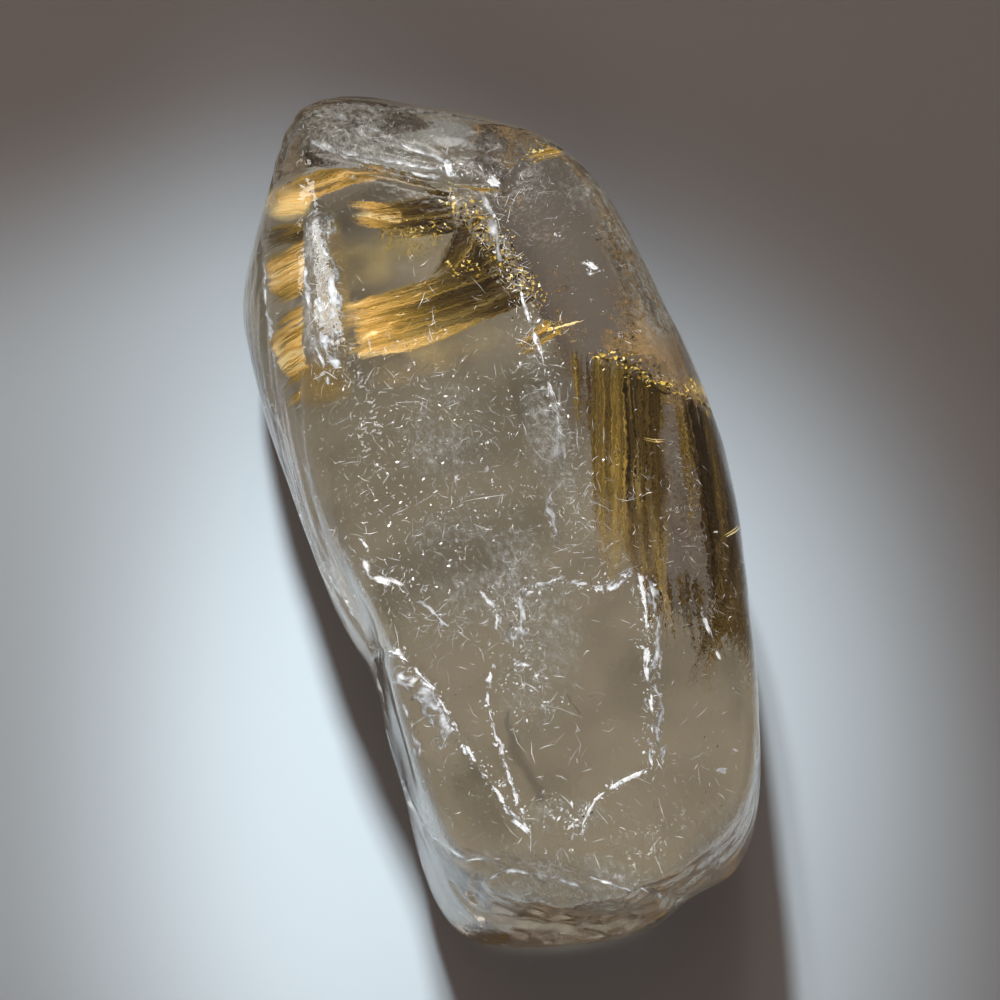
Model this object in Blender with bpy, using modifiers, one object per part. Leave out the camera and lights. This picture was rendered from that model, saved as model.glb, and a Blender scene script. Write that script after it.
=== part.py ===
"""Rutilated quartz freeform: a polished, clear quartz stone that holds two sheaves of golden rutile.

The stone is one solid. It was ground to about twenty gentle faces and tumbled until every edge
between them was round, so it is worked out as a rounded meeting of planes, each given by the way it
faces and its distance from the middle. A rutile sheaf is a sheet of needles that spread from a
ragged root. Both sheaves run out to a flank, where the polish cut the needles off, so each lies in
a slot that is open to the outside. Metres, +Z up, +Y along the stone, origin under its middle.
"""

from typing import NamedTuple

import bmesh
import bpy
import numpy as np
from mathutils import Vector

MM = 0.001

# Ground faces: name, compass angle from +X towards +Y, tilt above level, millimetres from the middle.
FACES = (
    ("crown", 61, 84, 14.5),
    ("crown_left", 172, 58, 17.0),
    ("crown_right", -2, 50, 19.5),
    ("left_bevel", 165, 35, 19.5),
    ("left_flank", 180, 5, 16.5),
    ("left_far", 151, 12, 26.0),
    ("left_near", 206, 8, 29.5),
    ("left_under", 176, -32, 19.5),
    ("right_flank", 2, 8, 20.5),
    ("right_far", 24, 10, 28.0),
    ("right_near", -17, 6, 21.0),
    ("right_under", 0, -40, 17.0),
    ("near_face", -107, -1, 39.5),
    ("near_right", -60, 4, 36.0),
    ("near_under", -98, -45, 35.0),
    ("far_cap", 68, 34, 33.5),
    ("far_end", 76, 12, 42.0),
    ("far_left", 131, 8, 36.0),
    ("far_right", 48, 10, 33.5),
    ("far_under", 88, -35, 38.0),
    ("base", 0, -90, 16.8),
)
EDGE_SHARPNESS = 16
BASE_DEPTH = 16.3
MIDDLE = np.array((-1.6, -1.0, BASE_DEPTH))

# Hollows worn into the faces: name, the two ends of its line, half its width and its depth.
HOLLOWS = (
    ("left_waist", (-16, -10.5, 6), (-16, -11.5, -9), 7.0, 2.0),
    ("left_notch", (-16.5, -20, 4), (-16.5, -21, -9), 4.0, 1.0),
    ("far_left_notch", (-8, 39.5, 3), (-8, 39.5, -9), 4.0, 1.0),
    ("near_right_notch", (4, -39, 3), (4, -39, -9), 3.5, 0.8),
    ("right_dent", (21, 10, 3), (21, 9, -4), 4.0, 0.5),
    ("fracture_groove", (-15, -13, 10), (-9.5, -32, 16.5), 1.8, 0.4),
    ("near_crease", (-13.5, -34, 12.5), (-8, -37, 16.5), 1.8, 0.7),
    ("near_scoop", (-10, -38, 7), (-3, -40, 4), 5.0, 0.9),
    ("far_step", (-5, 35, 9.5), (12, 27, 11), 2.2, 0.5),
)

# The evenly spread vertices of a ball are pulled out to this reach before they meet the faces.
REACH = Vector((19, 40, 17))
BALL_SUBDIVISIONS = 5

# Clearance between the quartz and the faces of a sheaf, and how far, as a share of the sheet, a slot
# runs past the sides, the root and the tips of its sheaf and into its window.
GAP = 0.3
SLOT_SIDE = 0.1
SLOT_ROOT = 0.04
SLOT_TIP = 0.15
SLOT_WINDOW = 0.05

# The turn, in radians, from one column of a ragged root to the next.
RAGGED_STEP = 2.4


class Sheaf(NamedTuple):
    """A sheet of needles from a root curve to a tip curve, each given by three points in mm.

    The bow is how far the needles arch at half way. The ragged root is a share of their length. The
    window is the part of the sheet, across and along, where clear quartz shows between two bands.
    """

    root: tuple
    tips: tuple
    bow: tuple
    thickness: float
    pleat_height: float
    ragged: float
    columns: int
    rows: int
    window: tuple


FAN = Sheaf(
    root=((5, 26, 6), (7.4, 19.8, 6), (8.2, 13, 6)),
    tips=((-13, 33, 6.5), (-16, 22, 8), (-17, 9, 8)),
    bow=(0, 2.2, 0),
    thickness=1.5,
    pleat_height=0.2,
    ragged=0.06,
    columns=14,
    rows=7,
    window=((7 / 14, 11 / 14), (3 / 7, 6 / 7)),
)
CURTAIN = Sheaf(
    root=((9, 7.8, 5), (13.5, 4.3, 6), (21, -1, 7.5)),
    tips=((4.6, -12, 5), (8, -19, 4.5), (15, -27, 3)),
    bow=(1.6, 0, 0),
    thickness=1.5,
    pleat_height=0.2,
    ragged=0.08,
    columns=14,
    rows=6,
    window=(),
)


def clear_scene():
    """Remove the objects that the scene opens with."""
    for thing in list(bpy.data.objects):
        bpy.data.objects.remove(thing, do_unlink=True)


def collection(name):
    """New collection in the scene."""
    made = bpy.data.collections.new(name)
    bpy.context.scene.collection.children.link(made)
    return made


def material(name, colour, roughness, metallic=0.0, transmission=0.0):
    """Principled material with a plain finish."""
    made = bpy.data.materials.new(name)
    made.use_nodes = True
    shader = made.node_tree.nodes["Principled BSDF"]
    shader.inputs["Base Color"].default_value = (*colour, 1)
    shader.inputs["Roughness"].default_value = roughness
    shader.inputs["Metallic"].default_value = metallic
    shader.inputs["Transmission Weight"].default_value = transmission
    made.diffuse_color = (*colour, 1)
    return made


def add_object(name, mesh, home, finish=None):
    """Object at the origin in its collection, with its finish."""
    made = bpy.data.objects.new(name, mesh)
    home.objects.link(made)
    if finish:
        made.data.materials.append(finish)
    return made


def as_cutter(thing):
    """Keep a shape out of the model: it only cuts or trims the others."""
    thing.hide_render = True
    thing.display_type = "WIRE"
    return thing


def boolean(thing, cutter, operation):
    """Cut a piece with another shape, or keep only what lies inside that shape."""
    modifier = thing.modifiers.new(cutter.name, "BOOLEAN")
    modifier.operation = operation
    modifier.solver = "EXACT"
    modifier.object = cutter


def face_normals():
    """Unit vectors that the ground faces look along, from their compass angles and tilts."""
    compass, tilt = np.radians([face[1:3] for face in FACES]).T
    level = np.cos(tilt)
    return np.stack([np.cos(compass) * level, np.sin(compass) * level, np.sin(tilt)], axis=1)


def distance_to_line(points, start, end):
    """How far each point is from the straight line between two ends."""
    start, end = np.array(start, float), np.array(end, float)
    run = end - start
    share = np.clip((points - start) @ run / (run @ run), 0, 1)
    return np.linalg.norm(points - start - share[:, None] * run, axis=1)


def stone_surface(directions):
    """Points of the stone's skin along unit directions from its middle, in millimetres.

    A face alone would give the radius distance / (normal . direction). The high mean of what all of
    the faces ask for rounds the edges between them, and each hollow then takes its depth off.
    """
    distances = np.array([face[3] for face in FACES])
    asked = np.maximum(directions @ face_normals().T, 0) / distances
    radius = (asked**EDGE_SHARPNESS).sum(axis=1) ** (-1 / EDGE_SHARPNESS)
    worn = np.zeros(len(directions))
    for _, start, end, half_width, depth in HOLLOWS:
        away = distance_to_line(directions * radius[:, None], start, end)
        worn += depth * np.exp(-((away / half_width) ** 2))
    points = directions * (radius - worn)[:, None]
    points[:, 2] = np.maximum(points[:, 2], -BASE_DEPTH)
    return points


def stone_mesh():
    """A ball whose vertices are moved onto the stone's skin, with a true flat under it."""
    mesh = bpy.data.meshes.new("stone_skin")
    ball = bmesh.new()
    bmesh.ops.create_icosphere(ball, subdivisions=BALL_SUBDIVISIONS, radius=1)
    bmesh.ops.scale(ball, vec=REACH, verts=ball.verts)
    ball.to_mesh(mesh)
    ball.free()
    spots = np.empty(len(mesh.vertices) * 3, dtype=np.float32)
    mesh.vertices.foreach_get("co", spots)
    directions = spots.reshape(-1, 3).astype(float)
    directions /= np.linalg.norm(directions, axis=1, keepdims=True)
    points = (stone_surface(directions) + MIDDLE) * MM
    mesh.vertices.foreach_set("co", points.astype(np.float32).ravel())
    mesh.update()
    mesh.shade_smooth()
    return mesh


def through(points, share):
    """Smooth curve through three points: a (1-t)(1-2t) + 4 b t (1-t) + c t (2t-1) at share t."""
    first, middle, last = (np.array(point, float) for point in points)
    share = share[..., None]
    return (
        first * (1 - share) * (1 - 2 * share)
        + 4 * middle * share * (1 - share)
        + last * share * (2 * share - 1)
    )


def sheet_points(sheaf, across, along):
    """Points of a sheaf's middle sheet: root + share of the way to the tip + a bow at half way."""
    root = through(sheaf.root, across)
    tips = through(sheaf.tips, across)
    bow = 4 * along * (1 - along)
    return root + (tips - root) * along[..., None] + bow[..., None] * np.array(sheaf.bow, float)


def sheet_mesh(name, points, open_cell):
    """Open sheet of four-sided cells over a grid of points, without the cells of the window."""
    rows, columns = points.shape[:2]
    corner = np.arange(rows * columns).reshape(rows, columns)
    cells = np.stack([corner[:-1, :-1], corner[:-1, 1:], corner[1:, 1:], corner[1:, :-1]], axis=-1)
    mesh = bpy.data.meshes.new(name)
    mesh.from_pydata(((points + MIDDLE) * MM).reshape(-1, 3).tolist(), [], cells[~open_cell].tolist())
    mesh.update()
    return mesh


def between(marks, low, high):
    """Which cells of a row of marks lie between two shares of the sheet."""
    centres = (marks[1:] + marks[:-1]) / 2
    return (centres > low) & (centres < high)


def window_cells(across, along, window):
    """Which cells of the sheet are left open, for its marks across and along."""
    if not window:
        return np.zeros((len(along) - 1, len(across) - 1), bool)
    return between(along, *window[1])[:, None] & between(across, *window[0])[None, :]


def slot_marks(marks, low_margin, high_margin, inner):
    """Marks of a slot: those of its sheaf, with more past both ends and inside its window."""
    extra = [marks[0] - low_margin, marks[-1] + high_margin, *inner]
    return np.unique(np.concatenate([marks, extra]))


def thicken(thing, thickness):
    """Give an open sheet its wall, half to each side, and split its twisted cells into flat ones."""
    modifier = thing.modifiers.new("wall", "SOLIDIFY")
    modifier.thickness = thickness * MM
    modifier.offset = 0
    thing.modifiers.new("flat_cells", "TRIANGULATE")


def add_sheaf(name, sheaf, home, finish, stone):
    """Pleated sheet of needles with a ragged root, cut off flush with the stone's skin."""
    across = np.linspace(0, 1, sheaf.columns + 1)
    along = np.linspace(0, 1, sheaf.rows + 1)
    column = np.arange(len(across))
    shares, runs = np.meshgrid(across, along)
    runs += (1 - runs) * sheaf.ragged * np.abs(np.sin((column + 1) * RAGGED_STEP))
    points = sheet_points(sheaf, shares, runs)
    fold = np.clip(column, 1, sheaf.columns - 1)
    points[..., 2] += sheaf.pleat_height * np.cos(np.pi * fold)
    mesh = sheet_mesh(name, points, window_cells(across, along, sheaf.window))
    thing = add_object(name, mesh, home, finish)
    thicken(thing, sheaf.thickness)
    boolean(thing, stone, "INTERSECT")
    return thing


def add_slot(name, sheaf, home):
    """Space that a sheaf lies in: its smooth sheet, wider and thicker all round by the clearance."""
    window = tuple((low + SLOT_WINDOW, high - SLOT_WINDOW) for low, high in sheaf.window)
    inner_across, inner_along = window or ((), ())
    across = slot_marks(np.linspace(0, 1, sheaf.columns + 1), SLOT_SIDE, SLOT_SIDE, inner_across)
    along = slot_marks(np.linspace(0, 1, sheaf.rows + 1), SLOT_ROOT, SLOT_TIP, inner_along)
    mesh = sheet_mesh(name, sheet_points(sheaf, *np.meshgrid(across, along)),
                      window_cells(across, along, window))
    thing = as_cutter(add_object(name, mesh, home))
    thicken(thing, sheaf.thickness + 2 * (sheaf.pleat_height + GAP))
    return thing


def build():
    """Put the stone and its two sheaves together."""
    clear_scene()
    parts = collection("rutilated_quartz_freeform")
    cutters = collection("cutters")
    quartz = material("clear_smoky_quartz", (0.62, 0.56, 0.48), roughness=0.05, transmission=1.0)
    rutile = material("golden_rutile", (0.55, 0.31, 0.05), roughness=0.3, metallic=0.5)

    skin = stone_mesh()
    whole = as_cutter(add_object("uncut_stone", skin, cutters))
    stone = add_object("quartz_stone", skin, parts, quartz)
    for name, sheaf in (("fan", FAN), ("curtain", CURTAIN)):
        boolean(stone, add_slot(f"{name}_slot", sheaf, cutters), "DIFFERENCE")
        add_sheaf(f"rutile_{name}", sheaf, parts, rutile, whole)


build()
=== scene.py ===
# %% [markdown]
# A rutilated quartz freeform: a palm-sized lump of clear, smoky quartz, ground to soft facets and
# polished, with sheaves of golden rutile needles inside it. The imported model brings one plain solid
# for the stone and one for each of the two big sheaves. Everything here is built round those solids
# in the same frame, in metres, and each new piece stands in for one of them or lies inside the stone.

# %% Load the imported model
import math
import bpy
import numpy as np
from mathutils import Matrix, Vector


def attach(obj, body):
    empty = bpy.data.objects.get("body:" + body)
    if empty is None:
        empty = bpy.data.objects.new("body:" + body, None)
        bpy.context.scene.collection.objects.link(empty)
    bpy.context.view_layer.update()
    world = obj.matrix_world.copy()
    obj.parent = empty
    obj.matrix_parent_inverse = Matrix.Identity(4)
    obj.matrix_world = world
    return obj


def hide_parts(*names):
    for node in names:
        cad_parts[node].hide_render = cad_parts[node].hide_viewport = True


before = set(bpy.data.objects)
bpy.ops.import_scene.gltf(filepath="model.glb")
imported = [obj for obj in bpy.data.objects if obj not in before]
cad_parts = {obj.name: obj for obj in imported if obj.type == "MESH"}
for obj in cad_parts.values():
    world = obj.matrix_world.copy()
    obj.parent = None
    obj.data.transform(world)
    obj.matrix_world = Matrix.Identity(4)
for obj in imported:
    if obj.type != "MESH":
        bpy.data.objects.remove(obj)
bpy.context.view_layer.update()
scene = bpy.context.scene

# %% [markdown]
# The stone is star-shaped: from its middle, every direction meets the skin once. So its shape is one
# number, the radius, as a function of direction. Each ground face asks for its own radius, and a high
# mean of all of them rounds the edges as tumbling does. Millimetres from the stone's middle are used
# throughout, because they are easy to read, and become metres only when a mesh is made.

# %% The shape of the stone
MM = 0.001
BASE_DEPTH = 16.3
MIDDLE = np.array((-1.6, -1.0, BASE_DEPTH))
EDGE_SHARPNESS = 16
HALF_SIZES = np.array((19, 40, 17))
# Ground faces: compass angle from +X towards +Y, tilt above level, millimetres from the middle.
GROUND_FACES = {
    "crown": (61, 84, 14.5), "crown_left": (172, 58, 17.0), "crown_right": (-2, 50, 19.5),
    "left_bevel": (165, 35, 19.5), "left_flank": (180, 5, 16.5), "left_far": (151, 12, 26.0),
    "left_near": (206, 8, 29.5), "left_under": (176, -32, 19.5), "right_flank": (2, 8, 20.5),
    "right_far": (24, 10, 28.0), "right_near": (-17, 6, 21.0), "right_under": (0, -40, 17.0),
    "near_face": (-107, -1, 39.5), "near_right": (-60, 4, 36.0), "near_under": (-98, -45, 35.0),
    "far_cap": (68, 34, 33.5), "far_end": (76, 12, 42.0), "far_left": (131, 8, 36.0),
    "far_right": (48, 10, 33.5), "far_under": (88, -35, 38.0), "base": (0, -90, 16.8),
}
# Hollows worn into the faces: the two ends of a line, half the hollow's width and its depth.
HOLLOWS = {
    "left_waist": ((-16, -10.5, 6), (-16, -11.5, -9), 7.0, 2.0),
    "left_notch": ((-16.5, -20, 4), (-16.5, -21, -9), 4.0, 1.0),
    "far_left_notch": ((-8, 39.5, 3), (-8, 39.5, -9), 4.0, 1.0),
    "near_right_notch": ((4, -39, 3), (4, -39, -9), 3.5, 0.8),
    "right_dent": ((21, 10, 3), (21, 9, -4), 4.0, 0.5),
    "fracture_groove": ((-15, -13, 10), (-9.5, -32, 16.5), 1.8, 0.4),
    "near_crease": ((-13.5, -34, 12.5), (-8, -37, 16.5), 1.8, 0.7),
    "near_scoop": ((-10, -38, 7), (-3, -40, 4), 5.0, 0.9),
    "far_step": ((-5, 35, 9.5), (12, 27, 11), 2.2, 0.5),
}


def unit(vectors):
    """Each vector divided by its own length."""
    return vectors / np.linalg.norm(vectors, axis=-1, keepdims=True)


def compass(angles):
    """Unit vectors for rows of (compass angle, tilt): cos a cos t, sin a cos t, sin t."""
    turn, tilt = np.radians(np.array(angles, float)).T
    return np.stack([np.cos(turn) * np.cos(tilt), np.sin(turn) * np.cos(tilt), np.sin(tilt)], axis=-1)


def to_line(points, start, end):
    """Distance of each point from a straight line's nearest place: |p - (start + k run)|, 0 <= k <= 1."""
    start, run = np.array(start, float), np.array(end, float) - np.array(start, float)
    share = np.clip((points - start) @ run / (run @ run), 0, 1)
    return np.linalg.norm(points - start - share[..., None] * run, axis=-1)


def mound(points, start, end, width, power=2):
    """Smooth bump about a straight line: e^-(distance / width)^power."""
    return np.exp(-((to_line(points, start, end) / width) ** power))


FACE_NORMALS = compass([face[:2] for face in GROUND_FACES.values()])
FACE_DISTANCES = np.array([face[2] for face in GROUND_FACES.values()])


def skin_radius(directions):
    """Radius of the plain skin: (sum of (normal . direction / distance)^p)^(-1/p), less the hollows."""
    asked = np.maximum(directions @ FACE_NORMALS.T, 0) / FACE_DISTANCES
    radius = (asked**EDGE_SHARPNESS).sum(axis=-1) ** (-1 / EDGE_SHARPNESS)
    skin = directions * radius[..., None]
    return radius - sum(depth * mound(skin, *line, width) for *line, width, depth in HOLLOWS.values())


def depth_inside(points):
    """How far points lie under the skin, measured towards the middle; negative outside."""
    distance = np.linalg.norm(points, axis=-1)
    return skin_radius(points / distance[..., None]) - distance


def skin_normal(points):
    """Outward unit normals of the skin near points: the slope of the depth, by small differences."""
    steps = np.eye(3) * 0.01
    slope = [depth_inside(points - step) - depth_inside(points + step) for step in steps]
    return unit(np.stack(slope, axis=-1))


print("middle to crown:", round(float(skin_radius(np.array([[0.0, 0.0, 1.0]]))[0]), 2), "mm")

# %% [markdown]
# The photograph looks down on the stone from about 70 degrees. The camera is made before any piece,
# because many inclusions are placed by where they are seen. A line of sight bends as it enters the
# quartz, so a place inside is found by following the line to the skin, bending it by Snell's law,
# and going on down to the depth where the inclusion lies.

# %% Camera and lines of sight
LENS, SENSOR, PHOTO_WIDTH, PHOTO_CENTRE = 85.0, 36.0, 1000, (500, 500)
CAMERA_COMPASS, CAMERA_TILT, CAMERA_DISTANCE = -110.0, 70.0, 210.0
QUARTZ_IOR = 1.544
BACK = compass([(CAMERA_COMPASS, CAMERA_TILT)])[0]
RIGHT = unit(np.cross((0, 0, 1), BACK))
UP = np.cross(BACK, RIGHT)
# The centre of the photograph looks at this place, in millimetres from the stone's middle.
AIM = RIGHT * 0.105 - UP * 0.14
EYE = AIM + BACK * CAMERA_DISTANCE
# Millimetres between the places tried along a line of sight; what is left of the way from the middle
# of the photograph each time a pixel that misses the stone is drawn in.
SIGHT_STEP, DRAWN_IN = 1.5, 0.99
SIGHT_STEPS = np.arange(CAMERA_DISTANCE - 40, CAMERA_DISTANCE + 25, SIGHT_STEP)


def sight_lines(pixels):
    """Unit directions from the eye through pixels: forward + right x / lens + up y / lens."""
    across, down = ((np.array(pixels, float) - PHOTO_WIDTH / 2) / PHOTO_WIDTH * SENSOR / LENS).T
    return unit(-BACK + across[:, None] * RIGHT - down[:, None] * UP)


def on_skin(pixels):
    """Where lines of sight meet the skin: coarse steps find the crossing, then halving closes in.
    A pixel that misses the stone is drawn in towards the middle of the photograph until it meets it."""
    pixels = np.array(pixels, float)
    lines = sight_lines(pixels)
    inside = depth_inside(EYE + lines[:, None, :] * SIGHT_STEPS[None, :, None]) > 0
    near = SIGHT_STEPS[np.argmax(inside, axis=1)] - SIGHT_STEP
    far = near + SIGHT_STEP
    for _ in range(12):
        half = (near + far) / 2
        deep = depth_inside(EYE + lines * half[:, None]) > 0
        near, far = np.where(deep, near, half), np.where(deep, half, far)
    places = EYE + lines * far[:, None]
    missed = ~inside.any(axis=1)
    if missed.any():
        places[missed] = on_skin(pixels[missed] * DRAWN_IN + PHOTO_WIDTH / 2 * (1 - DRAWN_IN))
    return places


def bent_lines(pixels, places):
    """Directions of sight under the skin: k d + (k c - sqrt(1 - k^2 (1 - c^2))) n, with k = 1 / IOR."""
    lines, normals = sight_lines(pixels), skin_normal(places)
    facing = -(lines * normals).sum(axis=1, keepdims=True)
    ratio = 1 / QUARTZ_IOR
    return ratio * lines + (ratio * facing - np.sqrt(1 - ratio**2 * (1 - facing**2))) * normals


def at_depth(pixels, depth):
    """Places inside that are seen at pixels, a given way along the bent line under the skin."""
    places = on_skin(pixels)
    return places + bent_lines(pixels, places) * np.reshape(depth, (-1, 1))


def at_height(pixels, height):
    """Places inside that are seen at pixels, where the bent line comes down to a height."""
    places = on_skin(pixels)
    lines = bent_lines(pixels, places)
    return places + lines * ((np.reshape(height, (-1,)) - places[:, 2]) / lines[:, 2])[:, None]


def linked(name, data):
    """A new object in the scene that shows the given data."""
    made = bpy.data.objects.new(name, data)
    scene.collection.objects.link(made)
    return made


camera_data = bpy.data.cameras.new("camera")
camera_data.lens, camera_data.sensor_width = LENS, SENSOR
camera = linked("camera", camera_data)
camera.location = Vector((EYE + MIDDLE) * MM)
camera.rotation_euler = Vector(-BACK).to_track_quat("-Z", "Y").to_euler()
bpy.context.scene.camera = camera
print("eye at", (EYE + MIDDLE).round(1), "mm; photo centre meets", on_skin([PHOTO_CENTRE]).round(1)[0])

# %% [markdown]
# Shader maths reads best as Python expressions. A small class wraps a socket, so that adding or
# multiplying two of them adds a Math node. Each operation has its reflected form too, so that a number
# may stand first. One method makes any other node from its settings and its inputs.

# %% Helpers for materials and meshes


class Wire:
    """A socket that can be used in arithmetic; each operation adds one Math node to its tree."""

    def __init__(self, tree, socket):
        self.tree, self.socket = tree, socket

    def _math(self, operation, first, second):
        return node(self.tree, "ShaderNodeMath", {"operation": operation}, {0: first, 1: second})

    def __add__(self, other):
        return self._math("ADD", self, other)

    def __radd__(self, other):
        return self._math("ADD", other, self)

    def __sub__(self, other):
        return self._math("SUBTRACT", self, other)

    def __rsub__(self, other):
        return self._math("SUBTRACT", other, self)

    def __mul__(self, other):
        return self._math("MULTIPLY", self, other)

    def __rmul__(self, other):
        return self._math("MULTIPLY", other, self)

    def __pow__(self, other):
        return self._math("POWER", self, other)

    def __rpow__(self, other):
        return self._math("POWER", other, self)


def node(tree, kind, settings=None, inputs=None, output=0):
    """Any node: its settings first, then the values or links of its sockets; returns one output."""
    made = tree.nodes.new(kind)
    for name, value in (settings or {}).items():
        if name == "stops":
            ramp = made.color_ramp
            while len(ramp.elements) < len(value):
                ramp.elements.new(0.5)
            for element, (place, colour) in zip(ramp.elements, value):
                element.position, element.color = place, (*colour, 1)
        else:
            setattr(made, name, value)
    for name, value in (inputs or {}).items():
        if isinstance(value, Wire):
            tree.links.new(value.socket, made.inputs[name])
        else:
            made.inputs[name].default_value = value
    return Wire(tree, made.outputs[output])


def new_material(name):
    """An empty material and its node tree."""
    made = bpy.data.materials.new(name)
    made.use_nodes = True
    made.node_tree.nodes.clear()
    return made, made.node_tree


def principled(tree, inputs):
    """Principled shader wired to the surface output."""
    shader = node(tree, "ShaderNodeBsdfPrincipled", inputs=inputs)
    output = tree.nodes.new("ShaderNodeOutputMaterial")
    tree.links.new(shader.socket, output.inputs["Surface"])
    return output


def stone_noise(tree, scale, detail=2.0, roughness=0.5, stretch=(1, 1, 1)):
    """Noise on the stone's own millimetres, the same from every side."""
    place = node(tree, "ShaderNodeTexCoord", output="Object")
    spread = node(tree, "ShaderNodeMapping", {"vector_type": "POINT"},
                  {"Vector": place, "Scale": tuple(1000 * s for s in stretch)})
    return node(tree, "ShaderNodeTexNoise", {"noise_dimensions": "3D"},
                {"Vector": spread, "Scale": scale, "Detail": detail, "Roughness": roughness})


def own_uv(tree):
    """The piece's own U and V, as two wires."""
    place = node(tree, "ShaderNodeUVMap", {"uv_map": "own_uv"})
    split = tree.nodes.new("ShaderNodeSeparateXYZ")
    tree.links.new(place.socket, split.inputs[0])
    return Wire(tree, split.outputs["X"]), Wire(tree, split.outputs["Y"])


def tinted(tree, colour, strength):
    """A colour times a strength."""
    return node(tree, "ShaderNodeVectorMath", {"operation": "SCALE"}, {0: colour, "Scale": strength})


def new_mesh(name, points, faces, uv, material):
    """Mesh from points in millimetres from the middle, with a U and V for each point where given."""
    mesh = bpy.data.meshes.new(name)
    mesh.from_pydata(((points + MIDDLE) * MM).tolist(), [], faces.tolist())
    if uv is not None:
        layer = mesh.uv_layers.new(name="own_uv")
        corner = np.empty(len(mesh.loops), dtype=np.int32)
        mesh.loops.foreach_get("vertex_index", corner)
        layer.data.foreach_set("uv", uv[corner].astype(np.float32).ravel())
    mesh.materials.append(material)
    return mesh


def add_piece(name, made, material, smooth=True):
    """A visible piece from its points, triangles and UVs; it rides on the root body."""
    points, faces, uv = made
    mesh = new_mesh(name, points, faces, uv, material)
    mesh.polygons.foreach_set("use_smooth", np.full(len(mesh.polygons), smooth))
    mesh.update()
    piece = linked(name, mesh)
    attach(piece, "root")
    print(name, "has", len(faces), "triangles")
    return piece


def triangles_of(quads):
    """Both triangles of each four-sided face."""
    return np.concatenate([quads[:, :3], quads[:, [0, 2, 3]]])


def grid_faces(index):
    """Four-sided faces between the neighbours of a grid of point numbers."""
    around = [index[:-1, :-1], index[1:, :-1], index[1:, 1:], index[:-1, 1:]]
    return np.stack(around, axis=-1).reshape(-1, 4)


def joined(parts):
    """Several meshes as one: points, faces and UVs, the faces renumbered."""
    points, faces, uv = zip(*parts)
    shift = np.cumsum([0] + [len(some) for some in points[:-1]])
    return (np.concatenate(points), np.concatenate([some + start for some, start in zip(faces, shift)]),
            np.concatenate(uv))


# %% [markdown]
# Nothing in a natural stone is even. Slow waves swell its skin, and cloud noise makes its breaks and
# fibres uneven. Both are sums over a few seeded random directions or lattices, so they are the same
# each time.

# %% Waves and clouds


def waves(points, wavelength, count, seed):
    """Smooth random relief, about -1 to 1: sines along random directions, summed, over root (2 count)."""
    draw = np.random.default_rng(seed)
    along = unit(draw.normal(size=(count, points.shape[-1]))) * (2 * np.pi / wavelength)
    phases = draw.uniform(0, 2 * np.pi, count)
    return np.sin(points @ along.T + phases).sum(axis=-1) / np.sqrt(2 * count)


def soft_step(values, low, high):
    """0 below low and 1 above high, with the smooth way 3 x^2 - 2 x^3 between."""
    x = np.clip((values - low) / (high - low), 0, 1)
    return x * x * (3 - 2 * x)


LATTICE = 64


def clouds(spots, size, layers, seed):
    """Cloud noise on flat places, about -1 to 1: random lattices, each twice as fine and half as
    strong as the one before it, turned its own way and smoothed between its corners."""
    draw = np.random.default_rng(seed)
    total = np.zeros(spots.shape[:-1])
    for layer in range(layers):
        lattice = draw.uniform(-1, 1, (LATTICE, LATTICE))
        turn, (right, up) = draw.uniform(0, 2 * np.pi), draw.uniform(0, LATTICE, 2)
        x = (spots[..., 0] * np.cos(turn) + spots[..., 1] * np.sin(turn)) * 2**layer / size + right
        y = (spots[..., 1] * np.cos(turn) - spots[..., 0] * np.sin(turn)) * 2**layer / size + up
        i, j = np.floor(x).astype(int), np.floor(y).astype(int)
        a, b = soft_step(x - i, 0, 1), soft_step(y - j, 0, 1)
        i, j, after, above = i % LATTICE, j % LATTICE, (i + 1) % LATTICE, (j + 1) % LATTICE
        low = lattice[i, j] * (1 - a) + lattice[after, j] * a
        high = lattice[i, above] * (1 - a) + lattice[after, above] * a
        total += (low * (1 - b) + high * b) / 2**layer
    return total


# %% [markdown]
# Polishing left relief on the stone: a slow swell, shallow ledges where the quartz broke in steps, and
# grooves where fractures come to the surface. The skin stands a few tenths of a millimetre proud of the
# solid and the relief is cut into it, so the stone keeps its size. Rims and breaks follow the photograph.

# %% Relief of the polish
# Pixels of the photograph along rims and breaks; from here on, every table of places holds such pixels.
LEFT_RIM = [(262, 250), (268, 330), (274, 400), (283, 470), (300, 520), (345, 600), (372, 650)]
NEAR_RIM = [(385, 745), (402, 790), (430, 835), (465, 862), (500, 860), (550, 868), (600, 880), (640, 893),
            (680, 905)]
LOOP_END = [(650, 768), (620, 785), (595, 800), (580, 825)]
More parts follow.
